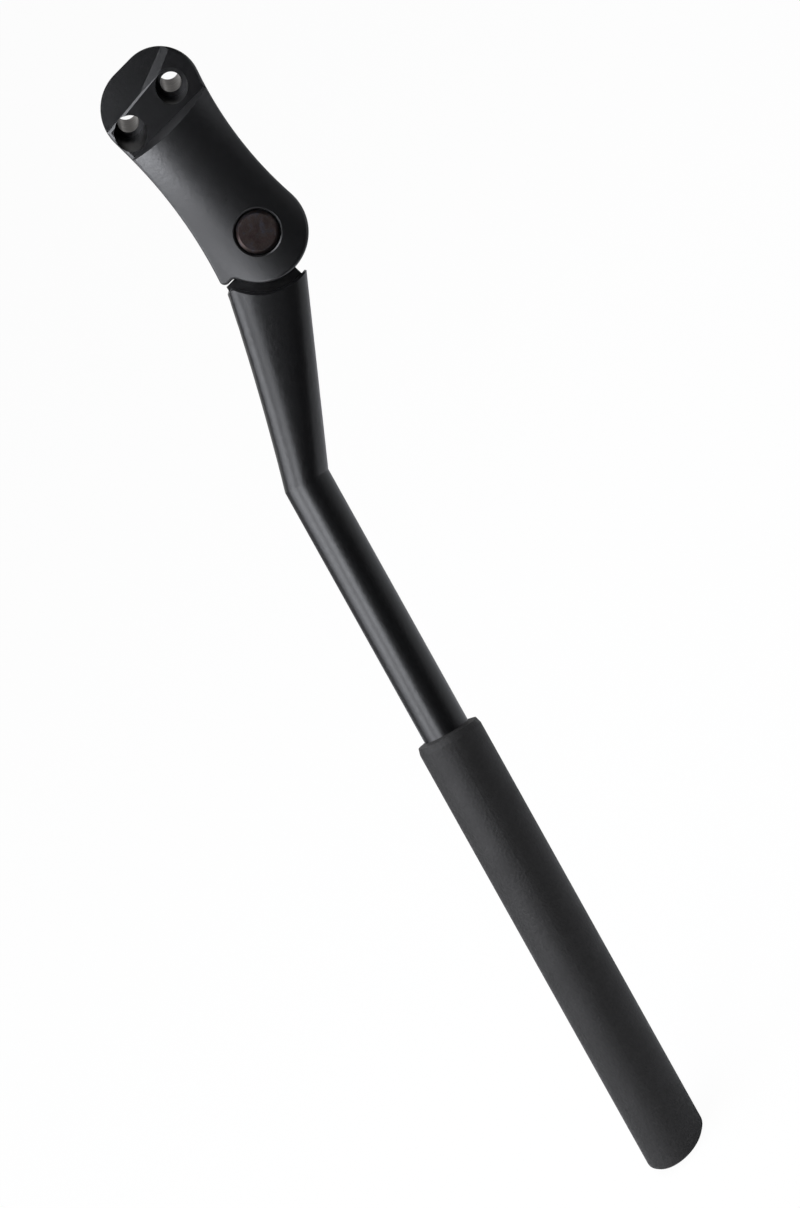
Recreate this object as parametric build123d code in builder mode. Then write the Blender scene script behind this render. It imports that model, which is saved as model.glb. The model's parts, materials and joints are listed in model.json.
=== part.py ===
from build123d import *
import os
from math import asin, atan2, cos, hypot, radians, sin, sqrt, tan

os.makedirs("parts", exist_ok=True)

# A bicycle kickstand that bolts to a two-hole plate on the frame, in millimetres.
# The origin lies midway between the bolt holes, on the face that meets the frame.
# +X points to the rear of the bicycle, +Y inboard along the bolts and +Z up.
# The leg swings in a plane that leans out and toes out from the bolts. Lengths
# measured in that plane are called rearward (along its x), upward (its y) and
# outward (its normal, towards the rider's view).

# Fits
running_clearance = 0.05
axial_clearance = 0.1
moving_gap = 0.3

# Bolt holes and their seats
bolt_spacing = 18.0
bolt_hole_diameter = 6.5
counterbore_diameter = 9.9
bolt_seat_depth = 11.2

# Where the pivot lies from the bolts, and how the swing plane leans
pivot_forward = 2.97
pivot_outboard = 28.4
pivot_drop = 47.67
splay_angle = 19.0
toe_angle = 11.5
bolt_line_dip = 2.5

# Head outline in the swing plane
hub_radius = 15.4
head_front_reach = 16.1
head_rear_reach = 17.75
head_top_reach = 13.0
front_corner_radius = 14.5
front_straight = 5.0
rear_corner_radius = 12.4
front_flank_radius = 141.0
rear_flank_radius = 115.0
stop_lip_drop = 4.6
stop_lip_radius = 1.7
stop_lip_round_share = 0.36

# Head section: crowned outer face and stepped back
crown_radius = 36.0
crown_height = 11.0
crown_shift = 0.5
hub_back = 10.3
back_slope_start = 17.0
back_slope_angle = 20.0
head_edge_radius = 1.0

# Bolt channel on the outer face of the head, and the sunk facet above it
channel_front_step = 0.9
channel_rear_rise = 0.9
channel_foot = 8.6
channel_wall_angle = 30.0
channel_edge_radius = 0.5
facet_edge_rise = 2.85
facet_edge_angle = 5.2
facet_front_depth = 0.85
facet_rear_depth = 0.6
facet_wall_angle = 45.0
facet_run = 24.0
facet_ramp_turn = 23.0
facet_ramp_angle = 12.0

# Pivot
pin_diameter = 10.0
pin_head_diameter = 13.0
pin_head_height = 3.1
pin_head_chamfer = 0.9
pin_recess_diameter = 14.1
pin_recess_bevel = 0.45
pin_face_sink = 0.3
bush_wall = 1.0
bush_flange_diameter = 17.0
bush_flange = 0.7
ring_thickness = 1.0
ring_width = 1.9
ring_groove_depth = 0.25
ring_recess_diameter = 18.5
ring_recess_depth = 2.2
ring_gap_angle = 50.0
ring_lug_radius = 1.7
ring_lug_hole = 0.8
pin_end_sink = 0.3

# Tongue of the leg and its swing
fold_angle = 108.0
tongue_thickness = 9.0
tongue_radius = 13.6
tongue_front_reach = 18.4
neck_rear_angle = -88.5
neck_overlap = 1.0
neck_root_share = 0.3
neck_root_inset = 0.2
stop_slack_angle = 1.0
detent_depth = 1.2

# Detent spring, a hairpin of strip steel in a pocket above the tongue
spring_strip = 1.5
spring_width = 9.6
spring_height = 9.0
spring_tip = 8.6
spring_bend = 6.6
spring_room = 0.9

# Upper leg, from the shoulder to the bend
shoulder_radius = 18.2
shoulder_front = (-16.7, -0.6)
shoulder_rear = (4.5, -15.75)
shoulder_front_top = 6.0
shoulder_corner_radius = 2.0
shoulder_edge_bevel = 0.8
shoulder_half_thickness = 8.6
shoulder_squareness = 3.2
leg_waist = 0.9
leg_sections = 4
section_points = 24

# Rod below the bend, leaning forward of straight down
bend_forward = 43.5
bend_drop = 63.2
rod_lean = 16.6
rod_diameter = 15.0
rod_end_chamfer = 1.0
rod_flat_depth = 1.9

# Foot sleeve, measured along the rod from the bend
sleeve_top = 87.4
sleeve_diameter = 21.2
sleeve_insertion = 100.0
sleeve_shorten = 25.0
sleeve_top_fall = 0.6
sleeve_rim_inset = 0.55
sleeve_rim_length = 2.0
sleeve_key_drop = 30.0
key_clearance = 0.1
key_runout = 1.0
foot_length = 232.6
foot_pitch = 11.9
foot_roll = 20.8
foot_edge_bevel = 0.8

# Clamp screw in the back of the sleeve
clamp_drop = 45.0
insert_diameter = 7.0
insert_sink = 0.4
screw_diameter = 5.0
screw_sink = 0.5
socket_width = 2.5
socket_depth = 2.4

# The swing plane
splay = radians(splay_angle)
toe = radians(toe_angle)
dip = radians(bolt_line_dip)
outward = Vector(sin(toe) * cos(splay), -cos(toe) * cos(splay), sin(splay))
bolt_line = (Vector(1, 0, 0) - outward * outward.X).normalized()
rearward = bolt_line * cos(dip) + outward.cross(bolt_line) * sin(dip)
upward = outward.cross(rearward)
pivot = Vector(-pivot_forward, -pivot_outboard, -pivot_drop)
swing = Plane(origin=pivot, x_dir=rearward, z_dir=outward)
frame_face = Plane(origin=(0, 0, 0), x_dir=(1, 0, 0), z_dir=(0, 1, 0))
far = 400.0


def in_swing(x, y, height=0.0):
    """A point given rearward, upward and outward of the pivot."""
    return pivot + rearward * x + upward * y + outward * height


def on_circle(centre, radius, angle):
    """A point on a circle in the swing plane, its angle in radians."""
    return (centre[0] + radius * cos(angle), centre[1] + radius * sin(angle))


def polar(radius, angle_deg):
    """A point about the pivot in the swing plane, its angle in degrees."""
    return on_circle((0, 0), radius, radians(angle_deg))


# Bolt seats seen in the swing plane: the bolt axis crosses the plane at hole_x, hole_y
bolt_direction = Vector(0, -1, 0)
bolt_lean_x = bolt_direction.dot(rearward) / bolt_direction.dot(outward)
bolt_lean_y = bolt_direction.dot(upward) / bolt_direction.dot(outward)
face_centre = Vector(0, 0, 0) - pivot
face_height = face_centre.dot(outward)
hole_x = face_centre.dot(rearward) - face_height * bolt_lean_x
hole_y = face_centre.dot(upward) - face_height * bolt_lean_y

# Tangent points of the head outline
head_left = hole_x - head_front_reach
head_right = hole_x + head_rear_reach
head_top = hole_y + head_top_reach
front_corner = (head_left + front_corner_radius, head_top - front_corner_radius)
rear_corner = (head_right - rear_corner_radius, head_top - rear_corner_radius)
front_flank = (head_left - front_flank_radius, front_corner[1] - front_straight)
lip_angle = asin(-(stop_lip_drop + front_flank[1]) / front_flank_radius)
lip_outer = on_circle(front_flank, front_flank_radius, lip_angle)
lip_inner = (-sqrt(hub_radius**2 - stop_lip_drop**2), -stop_lip_drop)
lip_round = min(stop_lip_radius, stop_lip_round_share * (lip_inner[0] - lip_outer[0]))
hub_reach = hub_radius + rear_flank_radius
corner_reach = rear_corner_radius + rear_flank_radius
corner_distance = hypot(*rear_corner)
corner_angle = atan2(rear_corner[1], rear_corner[0])
along = (hub_reach**2 - corner_reach**2 + corner_distance**2) / (2 * corner_distance)
aside = sqrt(hub_reach**2 - along**2)
rear_flank = (
    along * cos(corner_angle) + aside * sin(corner_angle),
    along * sin(corner_angle) - aside * cos(corner_angle),
)
hub_touch = atan2(rear_flank[1], rear_flank[0])
flank_to_hub = atan2(-rear_flank[1], -rear_flank[0])
flank_to_corner = atan2(rear_corner[1] - rear_flank[1], rear_corner[0] - rear_flank[0])
flank_middle = (flank_to_hub % radians(360) + flank_to_corner % radians(360)) / 2
corner_touch = flank_to_corner + radians(180)

# Slot for the tongue
tongue_half = tongue_thickness / 2
slot_width = tongue_thickness + 2 * (bush_flange + axial_clearance)
slot_radius = tongue_radius + moving_gap
up_stop_angle = neck_rear_angle + fold_angle + stop_slack_angle
detent_height = tongue_radius - detent_depth
spring_low = detent_height + running_clearance
spring_high = spring_low + spring_height
spring_bend_radius = spring_height / 2

# Pivot levels, outward of the swing plane
pin_face = crown_height - pin_face_sink
pin_seat = pin_face - pin_head_height
ring_seat = ring_recess_depth - hub_back
ring_inner_radius = pin_diameter / 2 - ring_groove_depth
pin_end = pin_end_sink - hub_back
bush_inner_radius = pin_diameter / 2 + running_clearance
bush_outer_radius = bush_inner_radius + bush_wall

# Channel floor, just below the crown at the front and just above it at the rear
def crown_at(x):
    """Outward height of the crowned face."""
    return crown_height - crown_radius + sqrt(crown_radius**2 - (x - crown_shift) ** 2)


floor_front = crown_at(head_left) - channel_front_step
floor_rear = crown_at(head_right) + channel_rear_rise
channel_fall = (floor_front - floor_rear) / (head_right - head_left)
facet_fall = channel_fall - (facet_front_depth - facet_rear_depth) / facet_run


def floor_at(x):
    """Outward height of the channel floor, which falls towards the rear."""
    return floor_front - channel_fall * (x - head_left)


channel_y = hole_y - channel_foot
reach = head_front_reach + head_rear_reach + head_top_reach + hub_radius
outward_axis = Axis(pivot, outward)
floor_run = (rearward - outward * channel_fall).normalized()
floor_plane = Plane(
    origin=in_swing(head_left, hole_y, floor_front), x_dir=floor_run, z_dir=floor_run.cross(upward))
floor_start = in_swing(hole_x - far / 2, channel_y, floor_at(hole_x - far / 2))
step_middle = in_swing(hole_x, channel_y, floor_at(hole_x))

# Planes of the facet: its floor, the wall along its lower edge and the ramp at its rear end
facet_end = head_left + facet_run
facet_end_y = hole_y + facet_edge_rise + (facet_end - hole_x) * tan(radians(facet_edge_angle))
facet_corner = in_swing(facet_end, facet_end_y, floor_at(facet_end))


def facet_slope(turn_deg, slope_deg):
    """A plane that sinks from the channel floor along a line turned from the rearward direction."""
    turn = radians(turn_deg)
    slope = radians(slope_deg)
    aside = upward * cos(turn) - floor_run * sin(turn)
    return Plane(origin=facet_corner, z_dir=floor_plane.z_dir * cos(slope) + aside * sin(slope))


facet_plane = Plane(
    origin=in_swing(head_left, hole_y, floor_front - facet_front_depth),
    z_dir=outward + rearward * facet_fall)
facet_wall = facet_slope(facet_edge_angle, facet_wall_angle)
facet_ramp = facet_slope(facet_ramp_turn, facet_ramp_angle)

# Lugs of the retaining ring
ring_lugs = [
    polar(ring_inner_radius + ring_width, ring_gap_angle / 2 - 90),
    polar(ring_inner_radius + ring_width, -ring_gap_angle / 2 - 90),
]

# Edges of the upper leg, from the shoulder down to the bend
rod_radius = rod_diameter / 2
lean = radians(rod_lean)
bend = (-bend_forward, -bend_drop)
bend_front = (bend[0] - rod_radius * cos(lean), bend[1] + rod_radius * sin(lean))
bend_rear = (bend[0] + rod_radius * cos(lean), bend[1] - rod_radius * sin(lean))
section_shares = [number / leg_sections for number in range(leg_sections)]


def between(start, end, share):
    """A point that share of the way from start to end."""
    return (start[0] + (end[0] - start[0]) * share, start[1] + (end[1] - start[1]) * share)


def front_edge(share):
    """A point on the front edge, drawn in at the waist."""
    x, y = between(shoulder_front, bend_front, share)
    return (x + 4 * leg_waist * share * (1 - share), y)


def rear_edge(share):
    """A point on the rear edge."""
    return between(shoulder_rear, bend_rear, share)


def section_plane(front, rear):
    """The plane across the leg through two edge points, its x inboard and its y to the rear."""
    middle = between(front, rear, 0.5)
    across = rearward * (rear[0] - front[0]) + upward * (rear[1] - front[1])
    return Plane(origin=in_swing(*middle), x_dir=outward * -1, z_dir=across.cross(outward))


def squared_oval(half_x, half_y, power):
    """Points round an oval that is squarer the smaller the power."""
    points = []
    for number in range(section_points):
        angle = radians(360 * number / section_points)
        x = half_x * abs(cos(angle)) ** power * (1 if cos(angle) > 0 else -1)
        y = half_y * abs(sin(angle)) ** power * (1 if sin(angle) > 0 else -1)
        points.append((x, y))
    return points


bend_plane = section_plane(bend_front, bend_rear)
rod_length = sleeve_top + sleeve_insertion
rod_flat_height = rod_radius - rod_flat_depth
rod_flat_start = sleeve_top + sleeve_key_drop - sleeve_shorten - key_runout
shoulder_corner = (-sqrt(shoulder_radius**2 - shoulder_front_top**2), -shoulder_front_top, 0)

# Tongue
neck_top = -stop_lip_drop - moving_gap
neck_front = front_edge(neck_root_share)
neck_rear = rear_edge(neck_root_share)
neck_points = [
    (-tongue_front_reach, neck_top),
    (0, neck_top),
    (0, 0),
    polar(shoulder_radius + neck_overlap, neck_rear_angle),
    between(neck_front, neck_rear, 1 - neck_root_inset),
    between(neck_front, neck_rear, neck_root_inset),
]
detent_side = [(-far, detent_height), (far, detent_height), (far, far), (-far, far)]


def turned(point, angle_deg):
    """A point swung about the pivot."""
    turn = radians(angle_deg)
    x = point[0] * cos(turn) - point[1] * sin(turn)
    y = point[0] * sin(turn) + point[1] * cos(turn)
    return (x, y)


# Foot sleeve, coaxial with the rod
down = bend_plane.z_dir
down_axis = Axis(bend_plane.origin, down)
sleeve_radius = sleeve_diameter / 2
bore_radius = rod_radius + running_clearance
key_start = sleeve_top + sleeve_key_drop
bore_end = sleeve_top + sleeve_insertion + sleeve_shorten + key_runout
sleeve_profile_plane = Plane(origin=bend_plane.origin, x_dir=outward, z_dir=outward.cross(down))
foot_tilt = down + bend_plane.y_dir * tan(radians(foot_pitch)) - outward * tan(radians(foot_roll))
foot_plane = Plane(origin=bend_plane.origin + down * foot_length, z_dir=foot_tilt)

# Clamp screw, square to the flat of the rod
clamp_plane = Plane(
    origin=bend_plane.origin + down * (sleeve_top + clamp_drop), x_dir=down, z_dir=outward * -1)
insert_start = rod_flat_height + moving_gap
insert_end = sleeve_radius - insert_sink
screw_start = rod_flat_height + key_clearance
screw_end = insert_end - screw_sink

# Plan of the head, drawn far behind it
with BuildSketch(swing.offset(-reach)) as head_plan:
    with BuildLine():
        ThreePointArc(on_circle((0, 0), hub_radius, hub_touch), (0, -hub_radius), lip_inner)
        Line(lip_inner, lip_outer)
        ThreePointArc(
            lip_outer,
            on_circle(front_flank, front_flank_radius, lip_angle / 2),
            (head_left, front_flank[1]),
        )
        Line((head_left, front_flank[1]), (head_left, front_corner[1]))
        ThreePointArc(
            (head_left, front_corner[1]),
            on_circle(front_corner, front_corner_radius, radians(135)),
            (front_corner[0], head_top),
        )
        Line((front_corner[0], head_top), (rear_corner[0], head_top))
        ThreePointArc(
            (rear_corner[0], head_top),
            on_circle(rear_corner, rear_corner_radius, radians(45)),
            on_circle(rear_corner, rear_corner_radius, corner_touch),
        )
        ThreePointArc(
            on_circle(rear_corner, rear_corner_radius, corner_touch),
            on_circle(rear_flank, rear_flank_radius, flank_middle),
            on_circle((0, 0), hub_radius, hub_touch),
        )
    make_face()
    fillet(head_plan.vertices().sort_by_distance((*lip_outer, 0))[0], lip_round)
    fillet(head_plan.vertices().sort_by_distance((*lip_inner, 0))[0], lip_round)

# Floor of the bolt channel, falling towards the rear, with a rounded rim
with BuildPart() as channel_floor:
    extrude(head_plan.sketch, amount=2 * reach)
    split(bisect_by=floor_plane, keep=Keep.BOTTOM)
    fillet(channel_floor.faces().sort_by(outward_axis)[-1].edges(), head_edge_radius)
    split(bisect_by=Plane(origin=in_swing(0, channel_y), z_dir=upward), keep=Keep.TOP)

# Room above the sunk facet
with BuildPart() as facet_room:
    with BuildSketch(facet_plane):
        Rectangle(far, far)
    extrude(amount=far)
    split(bisect_by=facet_wall, keep=Keep.TOP)
    split(bisect_by=facet_ramp, keep=Keep.TOP)

# Die-cast head: crowned block up to the drafted wall of the channel, then its floor and facet
with BuildPart() as mount_head:
    extrude(head_plan.sketch, amount=2 * reach)
    with BuildSketch(Plane(origin=in_swing(0, far / 2), x_dir=rearward, z_dir=upward * -1)):
        with Locations((crown_shift, crown_height - crown_radius)):
            Circle(crown_radius)
    extrude(amount=far, mode=Mode.INTERSECT)
    fillet(mount_head.faces().sort_by(outward_axis)[-1].edges(), head_edge_radius)
    with BuildSketch(Plane(origin=floor_start, x_dir=upward, z_dir=floor_run)):
        with BuildLine():
            Polyline(
                (0, -far),
                (far, -far),
                (far, far),
                (-far * tan(radians(channel_wall_angle)), far),
                (0, 0),
                close=True,
            )
        make_face()
    extrude(amount=far, mode=Mode.SUBTRACT)
    step_wall = mount_head.faces().filter_by(GeomType.PLANE).sort_by_distance(step_middle)[0]
    fillet(step_wall.edges().sort_by(outward_axis)[-1], channel_edge_radius)
    add(channel_floor.part)
    add(facet_room.part, mode=Mode.SUBTRACT)
    with BuildSketch(Plane(origin=in_swing(-far / 2, 0), x_dir=upward, z_dir=rearward)):
        with BuildLine():
            Polyline(
                (-far, -hub_back),
                (back_slope_start, -hub_back),
                (far, -hub_back - (far - back_slope_start) * tan(radians(back_slope_angle))),
                (far, far),
                (-far, far),
                close=True,
            )
        make_face()
    extrude(amount=far, mode=Mode.INTERSECT)
    split(bisect_by=frame_face, keep=Keep.BOTTOM)
    with BuildSketch(frame_face.offset(-far / 2)):
        with GridLocations(bolt_spacing, 0, 2, 1):
            Circle(bolt_hole_diameter / 2)
    extrude(amount=far, mode=Mode.SUBTRACT)
    with BuildSketch(frame_face.offset(-bolt_seat_depth)):
        with GridLocations(bolt_spacing, 0, 2, 1):
            Circle(counterbore_diameter / 2)
    extrude(amount=-far, mode=Mode.SUBTRACT)
    with BuildSketch(swing.offset(-slot_width / 2)):
        Circle(slot_radius)
        with BuildLine():
            Polyline(
                (-far, -stop_lip_drop),
                (0, -stop_lip_drop),
                (0, 0),
                polar(far, up_stop_angle),
                (far, -far),
                (-far, -far),
                close=True,
            )
        make_face()
        with BuildLine():
            Polyline(
                (-spring_tip - spring_room, 0),
                (spring_bend + spring_bend_radius + spring_room, 0),
                (spring_bend + spring_bend_radius + spring_room, spring_high),
                (-spring_tip - spring_room, spring_high),
                close=True,
            )
        make_face()
    extrude(amount=slot_width, mode=Mode.SUBTRACT)
    with BuildSketch(swing.offset(-far / 2)):
        Circle(pin_diameter / 2)
    extrude(amount=far, mode=Mode.SUBTRACT)
    with BuildSketch(swing.offset(ring_seat)):
        Circle(ring_recess_diameter / 2)
    extrude(amount=-far, mode=Mode.SUBTRACT)
    with BuildSketch(swing.offset(pin_seat)):
        Circle(pin_recess_diameter / 2)
    extrude(amount=far, mode=Mode.SUBTRACT)
    recess_mouth = mount_head.edges().sort_by_distance(in_swing(0, pin_recess_diameter / 2, crown_height))[0]
    chamfer(recess_mouth, pin_recess_bevel)
mount_head.part.label = "mount_head"
export_step(mount_head.part, "parts/mount_head.step")

# Pivot pin with a chamfered head in front and a groove at the back
with BuildPart() as pivot_pin:
    with BuildSketch(swing.offset(pin_end)):
        Circle(pin_diameter / 2)
    extrude(amount=pin_seat - pin_end)
    with BuildSketch(swing.offset(pin_seat)):
        Circle(pin_head_diameter / 2)
    extrude(amount=pin_head_height)
    chamfer(pivot_pin.edges().sort_by(outward_axis)[-1], pin_head_chamfer)
    with BuildSketch(swing.offset(ring_seat)):
        Circle(pin_diameter / 2)
        Circle(ring_inner_radius, mode=Mode.SUBTRACT)
    extrude(amount=-ring_thickness, mode=Mode.SUBTRACT)
pivot_pin.part.label = "pivot_pin"
export_step(pivot_pin.part, "parts/pivot_pin.step")

# Retaining ring in that groove, open at the bottom between two lugs
with BuildPart() as retaining_ring:
    with BuildSketch(swing.offset(ring_seat)):
        Circle(ring_inner_radius + ring_width)
        with BuildLine():
            Polyline(
                (0, 0),
                polar(far, ring_gap_angle / 2 - 90),
                polar(far, -ring_gap_angle / 2 - 90),
                close=True,
            )
        make_face(mode=Mode.SUBTRACT)
        with Locations(*ring_lugs):
            Circle(ring_lug_radius)
            Circle(ring_lug_hole, mode=Mode.SUBTRACT)
        Circle(ring_inner_radius, mode=Mode.SUBTRACT)
    extrude(amount=-ring_thickness)
retaining_ring.part.label = "retaining_ring"
export_step(retaining_ring.part, "parts/retaining_ring.step")

# Flanged plain bearings, pressed into the tongue from both sides
with BuildPart() as front_bush:
    with BuildSketch(swing):
        Circle(bush_outer_radius)
        Circle(bush_inner_radius, mode=Mode.SUBTRACT)
    extrude(amount=tongue_half)
    with BuildSketch(swing.offset(tongue_half)):
        Circle(bush_flange_diameter / 2)
        Circle(bush_inner_radius, mode=Mode.SUBTRACT)
    extrude(amount=bush_flange)
front_bush.part.label = "front_bush"
export_step(front_bush.part, "parts/front_bush.step")

with BuildPart() as rear_bush:
    with BuildSketch(swing):
        Circle(bush_outer_radius)
        Circle(bush_inner_radius, mode=Mode.SUBTRACT)
    extrude(amount=-tongue_half)
    with BuildSketch(swing.offset(-tongue_half)):
        Circle(bush_flange_diameter / 2)
        Circle(bush_inner_radius, mode=Mode.SUBTRACT)
    extrude(amount=-bush_flange)
rear_bush.part.label = "rear_bush"
export_step(rear_bush.part, "parts/rear_bush.step")

# Hairpin detent spring: the upper arm bears on the head, the lower one on a flat of the tongue
with BuildPart() as detent_spring:
    with BuildSketch(swing.offset(-spring_width / 2)):
        with BuildLine():
            Line((-spring_tip, spring_low), (spring_bend, spring_low))
            ThreePointArc(
                (spring_bend, spring_low),
                (spring_bend + spring_bend_radius, spring_low + spring_bend_radius),
                (spring_bend, spring_high),
            )
            Polyline(
                (spring_bend, spring_high),
                (-spring_tip, spring_high),
                (-spring_tip, spring_high - spring_strip),
                (spring_bend, spring_high - spring_strip),
            )
            ThreePointArc(
                (spring_bend, spring_high - spring_strip),
                (spring_bend + spring_bend_radius - spring_strip, spring_low + spring_bend_radius),
                (spring_bend, spring_low + spring_strip),
            )
            Polyline(
                (spring_bend, spring_low + spring_strip),
                (-spring_tip, spring_low + spring_strip),
                (-spring_tip, spring_low),
            )
        make_face()
    extrude(amount=spring_width)
detent_spring.part.label = "detent_spring"
export_step(detent_spring.part, "parts/detent_spring.step")

# Leg: a shoulder that narrows to the bend, a round rod below it and a tongue in the head
with BuildPart() as leg:
    for share in section_shares:
        front = front_edge(share)
        rear = rear_edge(share)
        half_width = hypot(rear[0] - front[0], rear[1] - front[1]) / 2
        half_thickness = shoulder_half_thickness + (rod_radius - shoulder_half_thickness) * share
        power = 2 / (shoulder_squareness + (2 - shoulder_squareness) * share)
        with BuildSketch(section_plane(front, rear)):
            with BuildLine():
                Spline(*squared_oval(half_thickness, half_width, power), periodic=True)
            make_face()
    with BuildSketch(bend_plane):
        Circle(rod_radius)
    loft()
    with BuildSketch(swing.offset(-far / 2)) as shoulder_cut:
        Circle(shoulder_radius)
        with BuildLine():
            Polyline(
                (-far, -shoulder_front_top),
                (0, -shoulder_front_top),
                (0, far),
                (-far, far),
                close=True,
            )
        make_face()
        fillet(shoulder_cut.vertices().sort_by_distance(shoulder_corner)[0], shoulder_corner_radius)
    extrude(amount=far, mode=Mode.SUBTRACT)
    chamfer(leg.edges(Select.NEW), shoulder_edge_bevel)
    with BuildSketch(bend_plane):
        Circle(rod_radius)
    extrude(amount=rod_length)
    chamfer(leg.faces().sort_by(down_axis)[-1].edges(), rod_end_chamfer)
    with BuildSketch(bend_plane.offset(rod_flat_start)):
        with Locations((rod_flat_height + far / 2, 0)):
            Rectangle(far, far)
    extrude(amount=far, mode=Mode.SUBTRACT)
    with BuildSketch(swing.offset(-tongue_half)):
        Circle(tongue_radius)
        with BuildLine():
            Polyline(*detent_side, close=True)
        make_face(mode=Mode.SUBTRACT)
        with BuildLine():
            Polyline(*[turned(point, -fold_angle) for point in detent_side], close=True)
        make_face(mode=Mode.SUBTRACT)
        with BuildLine():
            Polyline(*neck_points, close=True)
        make_face()
    extrude(amount=tongue_thickness)
    with BuildSketch(swing.offset(-tongue_half)):
        Circle(bush_outer_radius)
    extrude(amount=tongue_thickness, mode=Mode.SUBTRACT)
leg.part.label = "leg"
export_step(leg.part, "parts/leg.step")

# Moulded foot sleeve: a sloped top with a tapered rim, a bore with a flat, an end cut level with the
# ground and a hole for the insert
with BuildPart() as foot_sleeve:
    with BuildSketch(sleeve_profile_plane):
        with BuildLine():
            Polyline(
                (0, sleeve_top),
                (bore_radius, sleeve_top),
                (sleeve_radius - sleeve_rim_inset, sleeve_top + sleeve_top_fall),
                (sleeve_radius, sleeve_top + sleeve_top_fall + sleeve_rim_length),
                (sleeve_radius, far),
                (0, far),
                close=True,
            )
        make_face()
    revolve(axis=down_axis)
    split(bisect_by=foot_plane, keep=Keep.BOTTOM)
    chamfer(foot_sleeve.faces().sort_by(down_axis)[-1].edges(), foot_edge_bevel)
    with BuildSketch(bend_plane.offset(sleeve_top)):
        Circle(bore_radius)
    extrude(amount=sleeve_key_drop, mode=Mode.SUBTRACT)
    with BuildSketch(bend_plane.offset(key_start)):
        Circle(bore_radius)
        with Locations((rod_flat_height + key_clearance + far / 2, 0)):
            Rectangle(far, far, mode=Mode.SUBTRACT)
    extrude(amount=bore_end - key_start, mode=Mode.SUBTRACT)
    with BuildSketch(clamp_plane):
        Circle(insert_diameter / 2)
    extrude(amount=far, mode=Mode.SUBTRACT)
foot_sleeve.part.label = "foot_sleeve"
export_step(foot_sleeve.part, "parts/foot_sleeve.step")

# Threaded insert in the back of the sleeve
with BuildPart() as foot_insert:
    with BuildSketch(clamp_plane.offset(insert_start)):
        Circle(insert_diameter / 2)
        Circle(screw_diameter / 2, mode=Mode.SUBTRACT)
    extrude(amount=insert_end - insert_start)
foot_insert.part.label = "foot_insert"
export_step(foot_insert.part, "parts/foot_insert.step")

# Grub screw that clamps the rod
with BuildPart() as foot_screw:
    with BuildSketch(clamp_plane.offset(screw_start)):
        Circle(screw_diameter / 2)
    extrude(amount=screw_end - screw_start)
    with BuildSketch(clamp_plane.offset(screw_end)):
        RegularPolygon(socket_width / 2, 6, major_radius=False)
    extrude(amount=-socket_depth, mode=Mode.SUBTRACT)
foot_screw.part.label = "foot_screw"
export_step(foot_screw.part, "parts/foot_screw.step")
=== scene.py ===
# %% [markdown]
# # A folding bicycle kickstand
# This lesson dresses a finished CAD model in Blender. The stand has a die-cast head that bolts to
# the frame, a leg that folds on a pivot pin, and a plastic foot that slides along the leg's rod.
# The CAD gives every shape, so the work here is the view, the finishes and the light.
# Each step is a cell of its own and prints what it made.

# %% Load the model
import bpy
import json
from math import cos, pi, radians, sin
from mathutils import Matrix, Vector


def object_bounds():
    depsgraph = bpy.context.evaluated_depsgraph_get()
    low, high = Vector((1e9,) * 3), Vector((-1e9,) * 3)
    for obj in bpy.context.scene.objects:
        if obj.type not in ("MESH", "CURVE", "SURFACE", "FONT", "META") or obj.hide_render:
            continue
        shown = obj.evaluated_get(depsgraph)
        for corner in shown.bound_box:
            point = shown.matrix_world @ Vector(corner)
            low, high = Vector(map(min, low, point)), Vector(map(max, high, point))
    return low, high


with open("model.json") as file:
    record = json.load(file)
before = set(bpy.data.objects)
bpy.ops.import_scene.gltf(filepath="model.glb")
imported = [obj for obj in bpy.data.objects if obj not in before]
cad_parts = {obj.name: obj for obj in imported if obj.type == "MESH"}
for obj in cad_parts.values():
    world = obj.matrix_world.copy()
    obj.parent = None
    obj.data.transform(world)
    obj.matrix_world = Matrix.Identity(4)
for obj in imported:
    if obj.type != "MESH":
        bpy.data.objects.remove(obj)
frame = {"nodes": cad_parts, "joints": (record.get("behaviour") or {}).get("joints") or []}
parts = frame["nodes"]
cad_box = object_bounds()
print("pieces:", ", ".join(sorted(parts)))

# %% [markdown]
# ## The swing plane
# The leg folds about the pivot pin, and the photograph looks almost straight along that pin. So the
# pin's axis is the handiest direction for the camera, the lamps and the lathe marks on the pin.
# The joint in the CAD record holds the pin's place and axis, so nothing has to be measured again.

# %% Read the pivot and build directions from it
hinge = next(joint for joint in frame["joints"] if joint["name"] == "leg_fold")
pivot = Vector(hinge["pos_m"])
outward = Vector(hinge["axis"]).normalized()
rearward = (Vector((1, 0, 0)) - outward * outward.x).normalized()
upward = outward.cross(rearward)
print("pivot at", [round(number * 1000, 1) for number in pivot], "mm")

# %% [markdown]
# ## The camera
# A product photographer stands well back with a long lens, so that the stand keeps its proportions.
# The camera sits 1.5 m out along the pin's axis and is rolled, because the stand hangs askew in the
# picture. Aiming is done in three turns: into the swing plane, the roll, and a small turn that
# puts the pivot at its place in the picture. A Track To constraint could aim it too, but it would
# undo the roll.

# %% Camera
picture_width, picture_height = 800, 1208
pivot_pixel = (257.5, 232.0)
camera_distance = 1.5
camera_roll = radians(43.2)
focal_pixels = 4950.9      # at 1.5 m a picture pixel then covers 0.302 mm
sensor_height = 24.0

aim = Vector((
    pivot_pixel[0] - picture_width / 2,
    picture_height / 2 - pivot_pixel[1],
    -focal_pixels))
small_turn = Vector((0, 0, -1)).rotation_difference(aim).to_matrix()
roll = Matrix.Rotation(camera_roll, 3, "Z")
swing_axes = Matrix((rearward, upward, outward))
view_axes = (small_turn @ roll @ swing_axes).transposed()

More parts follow.
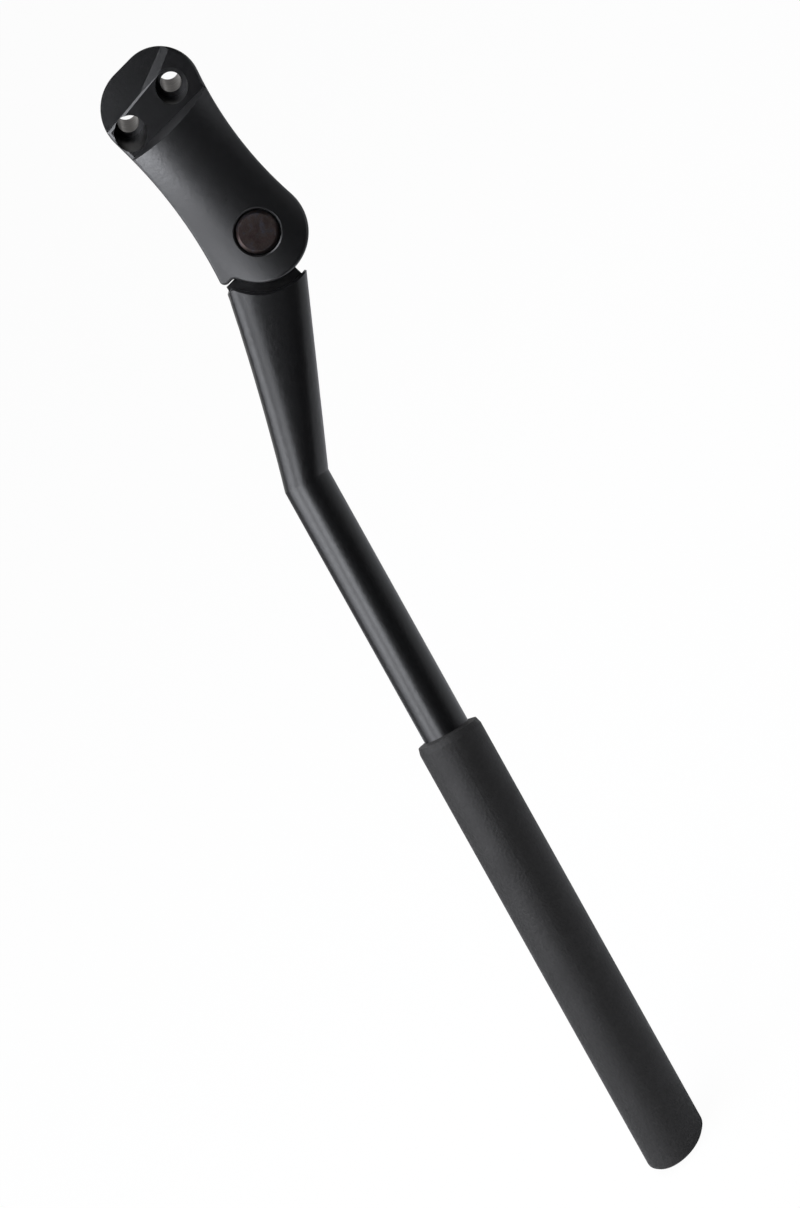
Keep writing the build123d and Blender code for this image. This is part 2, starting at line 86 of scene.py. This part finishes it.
lens = bpy.data.cameras.new("camera")
lens.sensor_fit = "VERTICAL"
lens.sensor_height = sensor_height
lens.lens = sensor_height * focal_pixels / picture_height
camera = bpy.data.objects.new("camera", lens)
camera.matrix_world = Matrix.Translation(pivot + outward * camera_distance) @ view_axes.to_4x4()
bpy.context.scene.collection.objects.link(camera)
bpy.context.scene.camera = camera
print("lens %.0f mm" % lens.lens)

# %% [markdown]
# ## Helpers for finishes
# Colours are picked as sRGB hex values, while shaders count in linear light, so one function turns
# one into the other. Another adds a node, sets it and links it in one line, which keeps each
# material short enough to read as a recipe. The CAD pieces have no UV maps, and need none: their
# object coordinates are metres in the stand's own frame, so a pattern's scale is simply one over
# the size of its marks.

# %% Helpers
noise_low, noise_high = 0.3, 0.7   # a noise texture's values lie mostly between these


def linear(hex_colour):
    """An sRGB hex colour as linear red, green, blue and alpha."""
    channels = [int(hex_colour[place:place + 2], 16) / 255 for place in (1, 3, 5)]
    return [c / 12.92 if c <= 0.04045 else ((c + 0.055) / 1.055) ** 2.4 for c in channels] + [1.0]


def add(tree, kind, inputs=None, **settings):
    """Adds a node, applies its settings, and fills its inputs with values or links."""
    node = tree.nodes.new(kind)
    for name, value in settings.items():
        setattr(node, name, value)
    for name, value in (inputs or {}).items():
        if isinstance(value, bpy.types.NodeSocket):
            tree.links.new(value, node.inputs[name])
        else:
            node.inputs[name].default_value = value
    return node


def new_material(name):
    """An empty material with its node tree and the object coordinates."""
    material = bpy.data.materials.new(name)
    material.use_nodes = True
    material.node_tree.nodes.clear()
    place = add(material.node_tree, "ShaderNodeTexCoord").outputs["Object"]
    return material, material.node_tree, place


def per_metre(size_mm):
    """The texture scale that gives marks of this size in millimetres."""
    return 1000 / size_mm


print("middle grey in linear light: %.3f" % linear("#808080")[0])

# %% [markdown]
# ## Bare metal in the bolt bores
# The head is powder-coated, but its bolt bores are plugged before coating, so the drilled aluminium
# shows there. The bores could be faces with a second material. A mask made from the distance to the
# two bolt axes does the same without touching the mesh, and it stays right when the CAD is rebuilt.
# The drilled wall is dull, and its two tones are kept dark as painted shade inside the bores, with
# the drill's feed marks round it, which a noise gives once it is squeezed along the bolts.

# %% Bolt bores
bolt_offset = 0.009              # each bolt axis from the middle, along X
bore_radius = 0.0034             # just over the hole's 3.25 mm
bore_outer_end = -0.0111         # the counterbore's flat, along Y
drill_mark_mm = 0.7              # feed marks are 0.1 mm apart; drawn coarser so that they show
drill_stretch = (0.15, 1.0, 0.15)   # long round the bore, short along it


def bolt_bores(tree, place):
    """A mask that is 1 in the two bolt bores, and the drilled metal's colour, kept dark as painted
    shade.
    """
    along = add(tree, "ShaderNodeSeparateXYZ", {"Vector": place}).outputs
    side = add(tree, "ShaderNodeMath", {0: along["X"]}, operation="ABSOLUTE").outputs[0]
    aside = add(tree, "ShaderNodeMath", {0: side, 1: bolt_offset}, operation="SUBTRACT").outputs[0]
    spoke = add(tree, "ShaderNodeCombineXYZ", {"X": aside, "Z": along["Z"]}).outputs[0]
    reach = add(tree, "ShaderNodeVectorMath", {0: spoke}, operation="LENGTH").outputs["Value"]
    near = add(tree, "ShaderNodeMath", {0: reach, 1: bore_radius}, operation="LESS_THAN").outputs[0]
    deep = add(tree, "ShaderNodeMath", {
        0: along["Y"], 1: bore_outer_end}, operation="GREATER_THAN").outputs[0]
    bare = add(tree, "ShaderNodeMath", {0: near, 1: deep}, operation="MULTIPLY").outputs[0]

    feed = add(tree, "ShaderNodeVectorMath", {
        0: place, 1: drill_stretch}, operation="MULTIPLY").outputs[0]
    marks = add(tree, "ShaderNodeTexNoise", {
        "Vector": feed, "Scale": per_metre(drill_mark_mm), "Detail": 3.0}).outputs["Fac"]
    # both tones of the drilled metal are dark: painted shade inside the bores, mixed by the feed
    # marks
    metal = add(tree, "ShaderNodeMix", {
        "Factor": marks, "A": linear("#37332f"), "B": linear("#77736f")},
        data_type="RGBA").outputs["Result"]
    return bare, metal


print("bores at X +-%.1f mm, radius %.1f mm" % (bolt_offset * 1000, bore_radius * 1000))

# %% [markdown]
# ## Satin black powder coat
# The head and the leg are cast aluminium with a baked polyester powder coat. The powder melts into
# a skin that is slightly wavy, called orange peel, and satin rather than glossy: it shows a lamp as
# a soft streak. One noise gives the waves, as a bump and as a slight change of gloss. A finer one
# gives the grain that is left of the powder, and the coat's tone hardly varies with it.

# %% Powder coat
orange_peel_mm = 1.2
coat_grain_mm = 0.5        # the powder's own grain is 0.05 mm; drawn coarser so that it shows


def powder_coat():
    """Satin black polyester powder over cast aluminium, with bare metal in the bolt bores."""
    material, tree, place = new_material("powder_coated_aluminium")
    bare, metal = bolt_bores(tree, place)
    waves = add(tree, "ShaderNodeTexNoise", {
        "Vector": place, "Scale": per_metre(orange_peel_mm), "Detail": 2.0}).outputs["Fac"]
    grain = add(tree, "ShaderNodeTexNoise", {
        "Vector": place, "Scale": per_metre(coat_grain_mm), "Detail": 3.0}).outputs["Fac"]
    black = add(tree, "ShaderNodeMix", {
        "Factor": grain, "A": linear("#070708"), "B": linear("#0a0a0b")},
        data_type="RGBA").outputs["Result"]
    colour = add(tree, "ShaderNodeMix", {
        "Factor": bare, "A": black, "B": metal}, data_type="RGBA").outputs["Result"]
    gloss = add(tree, "ShaderNodeMapRange", {
        "Value": waves, "From Min": noise_low, "From Max": noise_high,
        "To Min": 0.31, "To Max": 0.36}).outputs["Result"]
    peel = add(tree, "ShaderNodeBump", {
        "Height": waves, "Strength": 0.35, "Distance": 0.0001}).outputs["Normal"]
    skin = add(tree, "ShaderNodeBump", {
        "Height": grain, "Normal": peel, "Strength": 0.2, "Distance": 0.00001}).outputs["Normal"]
    coat = add(tree, "ShaderNodeBsdfPrincipled", {
        "Base Color": colour, "Metallic": bare, "Roughness": gloss, "Normal": skin, "IOR": 1.6})
    add(tree, "ShaderNodeOutputMaterial", {"Surface": coat.outputs["BSDF"]})
    return material


coated = powder_coat()
print("made", coated.name)

# %% [markdown]
# ## Moulded nylon foot
# The foot sleeve is injection-moulded nylon. Its mould was spark-eroded, which leaves an even grain
# that scatters light, so the sleeve looks greyer and softer than the coat. A noise gives the grain:
# as a bump for the pits, and as painted shade in them, a darker tone for the light lost in the
# pits.

# %% Nylon
mould_grain_mm = 0.8       # spark erosion leaves pits of 0.1 mm; drawn coarser so that they show
flow_mm = 14               # the melt's flow leaves faint broad streaks


def moulded_nylon():
    """Black nylon from a spark-eroded mould."""
    material, tree, place = new_material("moulded_nylon")
    grain = add(tree, "ShaderNodeTexNoise", {
        "Vector": place, "Scale": per_metre(mould_grain_mm), "Detail": 3.0}).outputs["Fac"]
    flow = add(tree, "ShaderNodeTexNoise", {
        "Vector": place, "Scale": per_metre(flow_mm), "Detail": 1.0}).outputs["Fac"]
    # darker where the grain is low, in the pits: painted shade for the light lost there
    tone = add(tree, "ShaderNodeMix", {
        "Factor": grain, "A": linear("#100f0f"), "B": linear("#2a2928")},
        data_type="RGBA").outputs["Result"]
    dull = add(tree, "ShaderNodeMapRange", {
        "Value": flow, "From Min": noise_low, "From Max": noise_high,
        "To Min": 0.56, "To Max": 0.64}).outputs["Result"]
    pits = add(tree, "ShaderNodeBump", {
        "Height": grain, "Strength": 0.8, "Distance": 0.0002}).outputs["Normal"]
    nylon = add(tree, "ShaderNodeBsdfPrincipled", {
        "Base Color": tone, "Roughness": dull, "Normal": pits,
        "IOR": 1.53, "Specular IOR Level": 0.4})
    add(tree, "ShaderNodeOutputMaterial", {"Surface": nylon.outputs["BSDF"]})
    return material


nylon = moulded_nylon()
print("made", nylon.name)

# %% [markdown]
# ## Phosphated pivot pin
# The pin is turned steel, blackened in a phosphate bath. Turning leaves rings round its axis, and
# the bath leaves crystals from brown to blue-grey, so its face is dark, dull and blotched.
# The rings need the distance from the pin's axis. The cross product of a place with the axis has
# just that length, which saves turning the coordinates.

# %% Pin
lathe_ring_mm = 0.5        # turning feed is about 0.1 mm; drawn coarser so that it shows
blotch_mm = 2.2
crystal_mm = 0.35


def phosphated_pin():
    """Turned steel under a brown-black phosphate layer."""
    material, tree, place = new_material("phosphated_steel")
    spoke = add(tree, "ShaderNodeVectorMath", {0: place, 1: pivot}, operation="SUBTRACT").outputs[0]
    swept = add(tree, "ShaderNodeVectorMath", {
        0: spoke, 1: outward}, operation="CROSS_PRODUCT").outputs[0]
    radius = add(tree, "ShaderNodeVectorMath", {0: swept}, operation="LENGTH").outputs["Value"]
    rings = add(tree, "ShaderNodeTexNoise", {
        "W": radius, "Scale": per_metre(lathe_ring_mm), "Detail": 2.0},
        noise_dimensions="1D").outputs["Fac"]
    blotch = add(tree, "ShaderNodeTexNoise", {
        "Vector": place, "Scale": per_metre(blotch_mm), "Detail": 3.0,
        "Roughness": 0.6}).outputs["Fac"]
    crystal = add(tree, "ShaderNodeTexNoise", {
        "Vector": place, "Scale": per_metre(crystal_mm), "Detail": 2.0}).outputs["Fac"]

    hue = add(tree, "ShaderNodeValToRGB", {"Fac": blotch})
    stops = hue.color_ramp.elements
    stops[0].position, stops[0].color = noise_low, linear("#493c3d")
    stops[1].position, stops[1].color = noise_high, linear("#49474d")
    warm = stops.new((noise_low + noise_high) / 2)
    warm.color = linear("#4c4340")
    shade = add(tree, "ShaderNodeMapRange", {
        "Value": crystal, "From Min": noise_low, "From Max": noise_high,
        "To Min": 0.82, "To Max": 1.12}).outputs["Result"]
    tone = add(tree, "ShaderNodeVectorMath", {
        0: hue.outputs["Color"], "Scale": shade}, operation="SCALE").outputs[0]

    dull = add(tree, "ShaderNodeMapRange", {
        "Value": blotch, "From Min": noise_low, "From Max": noise_high,
        "To Min": 0.33, "To Max": 0.43}).outputs["Result"]
    turned = add(tree, "ShaderNodeBump", {
        "Height": rings, "Strength": 0.3, "Distance": 0.00004}).outputs["Normal"]
    skin = add(tree, "ShaderNodeBump", {
        "Height": crystal, "Normal": turned, "Strength": 0.4,
        "Distance": 0.00003}).outputs["Normal"]
    steel = add(tree, "ShaderNodeBsdfPrincipled", {
        "Base Color": tone, "Metallic": 1.0, "Roughness": dull, "Normal": skin})
    add(tree, "ShaderNodeOutputMaterial", {"Surface": steel.outputs["BSDF"]})
    return material


pin_steel = phosphated_pin()
print("made", pin_steel.name)

# %% [markdown]
# ## The small metal and polymer pieces
# The ring behind the head, the spring strip in its slot, the grub screw in the foot, its brass
# insert and the two bushes are mostly hidden, but the library's user will turn the stand round.
# All have the same kind of surface, two tones of fine speckle on an even sheen, so one function
# makes them and takes what differs: metal or not, the tones, the speckle's size and the sheen.

# %% Small pieces
def speckled(name, metallic, dark, light, speckle_mm, smooth, rough):
    """A finely speckled surface between two tones and two degrees of sheen."""
    material, tree, place = new_material(name)
    speckle = add(tree, "ShaderNodeTexNoise", {
        "Vector": place, "Scale": per_metre(speckle_mm), "Detail": 4.0}).outputs["Fac"]
    tone = add(tree, "ShaderNodeMix", {
        "Factor": speckle, "A": linear(dark), "B": linear(light)},
        data_type="RGBA").outputs["Result"]
    sheen = add(tree, "ShaderNodeMapRange", {
        "Value": speckle, "From Min": noise_low, "From Max": noise_high,
        "To Min": smooth, "To Max": rough}).outputs["Result"]
    skin = add(tree, "ShaderNodeBump", {
        "Height": speckle, "Strength": 0.4, "Distance": 0.00003}).outputs["Normal"]
    surface = add(tree, "ShaderNodeBsdfPrincipled", {
        "Base Color": tone, "Metallic": metallic, "Roughness": sheen, "Normal": skin})
    add(tree, "ShaderNodeOutputMaterial", {"Surface": surface.outputs["BSDF"]})
    return material


# Phosphated strip and ring: dull grey-black. Black oxide: darker, oiled. Brass: warm and turned
# bright. Bearing polymer: dark violet-grey plastic, slightly waxy. Their real grain is under
# 0.1 mm, so each speckle is drawn coarser to show.
spring_steel = speckled("phosphated_spring_steel", 1.0, "#2e2e30", "#4c4c4e", 0.4, 0.38, 0.46)
screw_steel = speckled("black_oxide_steel", 1.0, "#202022", "#38383a", 0.3, 0.30, 0.40)
brass = speckled("turned_brass", 1.0, "#a8834a", "#c9a566", 0.5, 0.26, 0.34)
bearing = speckled("bearing_polymer", 0.0, "#1c181e", "#2a242e", 0.4, 0.44, 0.54)
print("made", spring_steel.name, screw_steel.name, brass.name, bearing.name)

# %% [markdown]
# ## Dressing the pieces
# Each CAD piece is one solid of one material, so a table from piece to finish is all it takes.

# %% Give each piece its finish
finishes = {
    "mount_head": coated, "leg": coated, "foot_sleeve": nylon, "pivot_pin": pin_steel,
    "retaining_ring": spring_steel, "detent_spring": spring_steel, "front_bush": bearing,
    "rear_bush": bearing, "foot_insert": brass, "foot_screw": screw_steel,
}
for name, finish in finishes.items():
    piece = parts[name]
    piece.data.materials.clear()
    piece.data.materials.append(finish)
    print(name, "->", finish.name)

# %% [markdown]
# ## Floor
# The picture has a plain white ground. The floor is a sheet of pale paper under the foot, and it
# runs far back so that no edge of it shows.

# %% Floor sheet
foot_clearance = 0.0005
floor_level = cad_box[0][2] - foot_clearance
floor_half_width = 4.0
floor_front = -0.35
floor_back = 8.0
floor_mesh = bpy.data.meshes.new("floor")
floor_mesh.from_pydata(
    [(-floor_half_width, floor_front, floor_level), (floor_half_width, floor_front, floor_level),
     (floor_half_width, floor_back, floor_level), (-floor_half_width, floor_back, floor_level)],
    [], [(0, 1, 2, 3)])
floor = bpy.data.objects.new("floor", floor_mesh)
bpy.context.scene.collection.objects.link(floor)
print("floor at %.1f mm" % (floor_level * 1000))

# %% [markdown]
# ## White paper
# A strong lamp on the sheet would turn it white but spill onto the stand. So its material asks what
# kind of ray meets it: the camera and glass see it glow white with a trace of shadow, while the
# light that it throws on the stand is only that of plain paper. Mirrors see the glow only where the
# sheet runs back to the backdrop, because black satin shows even a pale reflection as a grey haze.

# %% Paper
glow_start, glow_full = 0.8, 2.5   # along Y, where the sheet's reflection turns white
glow_share = 0.97

paper, tree, place = new_material("white_paper")
rays = add(tree, "ShaderNodeLightPath").outputs
back = add(tree, "ShaderNodeSeparateXYZ", {"Vector": place}).outputs["Y"]
far = add(tree, "ShaderNodeMapRange", {
    "Value": back, "From Min": glow_start, "From Max": glow_full}).outputs["Result"]
mirrored = add(tree, "ShaderNodeMath", {
    0: rays["Is Glossy Ray"], 1: far}, operation="MULTIPLY").outputs[0]
seen = add(tree, "ShaderNodeMath", {
    0: rays["Is Camera Ray"], 1: mirrored}, operation="MAXIMUM").outputs[0]
seen = add(tree, "ShaderNodeMath", {
    0: seen, 1: rays["Is Transmission Ray"]}, operation="MAXIMUM").outputs[0]
share = add(tree, "ShaderNodeMath", {0: seen, 1: glow_share}, operation="MULTIPLY").outputs[0]
sheet = add(tree, "ShaderNodeBsdfDiffuse", {"Color": linear("#f4f4f4")}).outputs[0]
glow = add(tree, "ShaderNodeEmission", {"Color": linear("#ffffff"), "Strength": 1.0}).outputs[0]
mixed = add(tree, "ShaderNodeMixShader", {0: share, 1: sheet, 2: glow}).outputs[0]
add(tree, "ShaderNodeOutputMaterial", {"Surface": mixed})
floor_mesh.materials.append(paper)
print("made", paper.name)

# %% [markdown]
# ## World
# A studio's white backdrop hangs behind the object and its other walls are dark. The world plays
# that room: white to the camera on every side, white in reflections only behind the stand, and a
# dim grey for everything else. The dot product with the camera's direction tells behind from front.

# %% World
room_grey = 0.014
backdrop_edge, backdrop_full = 0.55, 0.95   # cosines of the angle from straight behind

world = bpy.data.worlds.new("studio")
bpy.context.scene.world = world
world.use_nodes = True
tree = world.node_tree
tree.nodes.clear()
rays = add(tree, "ShaderNodeLightPath").outputs
direction = add(tree, "ShaderNodeTexCoord").outputs["Generated"]
behind = add(tree, "ShaderNodeVectorMath", {
    0: direction, 1: -outward}, operation="DOT_PRODUCT").outputs["Value"]
backdrop = add(tree, "ShaderNodeMapRange", {
    "Value": behind, "From Min": backdrop_edge, "From Max": backdrop_full}).outputs["Result"]
mirrored = add(tree, "ShaderNodeMath", {
    0: rays["Is Glossy Ray"], 1: backdrop}, operation="MULTIPLY").outputs[0]
seen = add(tree, "ShaderNodeMath", {
    0: rays["Is Camera Ray"], 1: mirrored}, operation="MAXIMUM").outputs[0]
seen = add(tree, "ShaderNodeMath", {
    0: seen, 1: rays["Is Transmission Ray"]}, operation="MAXIMUM").outputs[0]
dim = add(tree, "ShaderNodeBackground", {
    "Color": linear("#ffffff"), "Strength": room_grey}).outputs[0]
white = add(tree, "ShaderNodeBackground", {"Color": linear("#ffffff"), "Strength": 1.0}).outputs[0]
mixed = add(tree, "ShaderNodeMixShader", {0: seen, 1: dim, 2: white}).outputs[0]
add(tree, "ShaderNodeOutputWorld", {"Surface": mixed})
print("world ready, room at", room_grey)

# %% [markdown]
# ## A softbox
# Each lamp is placed as a photographer would say it: how far round from the camera, towards which
# side of the picture, how far off, how large, and how bright its face is beside white paper.
# Blender asks for the lamp's power instead, which is that brightness times the face's area and pi.

# %% Softbox
picture_left = upward * sin(camera_roll) - rearward * cos(camera_roll)
picture_up = upward * cos(camera_roll) + rearward * sin(camera_roll)
daylight = "#f7f9ff"


def softbox(name, target, tilt, turn, distance, width, height, brightness):
    """A lamp tilted from the camera's line, turned from picture right towards picture up."""
    aside = picture_up * sin(radians(turn)) - picture_left * cos(radians(turn))
    towards = outward * cos(radians(tilt)) + aside * sin(radians(tilt))
    lamp = bpy.data.lights.new(name, "AREA")
    lamp.shape = "RECTANGLE"
    lamp.size = width
    lamp.size_y = height
    lamp.energy = brightness * width * height * pi
    lamp.color = linear(daylight)[:3]
    box = bpy.data.objects.new(name, lamp)
    across = outward.cross(aside)
    along = towards.cross(across)
    axes = Matrix((across, along, towards)).transposed().to_4x4()
    box.matrix_world = Matrix.Translation(target + towards * distance) @ axes
    box.visible_camera = False
    bpy.context.scene.collection.objects.link(box)
    print("%s: %.2f W" % (name, lamp.energy))


print("picture left is", [round(number, 2) for number in picture_left])

# %% [markdown]
# ## Lamps
# Black satin shows little of its own colour: what the eye reads as its shape is where lamps mirror
# in it. In the photograph a bright streak runs down the left of the head, the leg and the rod, so
# the main softbox is far round to the left, with others in front of it, behind it and above. Two
# more stand behind the right side and draw a thin bright edge there. One large lamp can't give each
# piece its streak, because the pieces face different ways. So a small box is close to each of
# the head, the leg, the rod and the foot, and a last one fills the right of the head.

# %% Lamps
stand_middle = Vector((-0.05, -0.085, -0.16))
head_middle = pivot + upward * 0.046
leg_middle = pivot - picture_left * 0.012 - picture_up * 0.060
rod_middle = pivot - picture_left * 0.045 - picture_up * 0.130
foot_middle = pivot - picture_left * 0.082 - picture_up * 0.202

# Name, what it is aimed at, tilt and turn in degrees, distance, width and height in metres, and
# the brightness of its face.
lamps = [
    ("left key", stand_middle, 75, 205, 0.8, 0.50, 0.36, 5.0),
    ("left front", stand_middle, 52, 200, 0.8, 0.45, 0.30, 1.0),
    ("left back", stand_middle, 98, 200, 0.8, 0.50, 0.30, 2.4),
    ("upper left", stand_middle, 92, 140, 0.8, 0.40, 0.45, 7.5),
    ("top", stand_middle, 55, 128, 0.8, 0.50, 0.40, 1.4),
    ("upper right", stand_middle, 98, 60, 0.8, 0.30, 0.30, 0.8),
    ("right back", stand_middle, 122, 30, 0.8, 0.60, 0.30, 1.9),
    ("head light", head_middle, 31, 189, 0.13, 0.095, 0.075, 9.6),
    ("leg light", leg_middle, 32, 204, 0.25, 0.16, 0.10, 2.1),
    ("rod light", rod_middle, 41, 205, 0.20, 0.16, 0.08, 2.9),
    ("foot light", foot_middle, 40, 205, 0.25, 0.25, 0.10, 1.7),
    ("right fill", head_middle, 65, 30, 0.30, 0.16, 0.16, 1.2),
]
for lamp_settings in lamps:
    softbox(*lamp_settings)

# %% [markdown]
# ## Finish
# The plain view transform keeps each colour as it was picked.

# %% Finish
bpy.context.scene.view_settings.view_transform = "Standard"
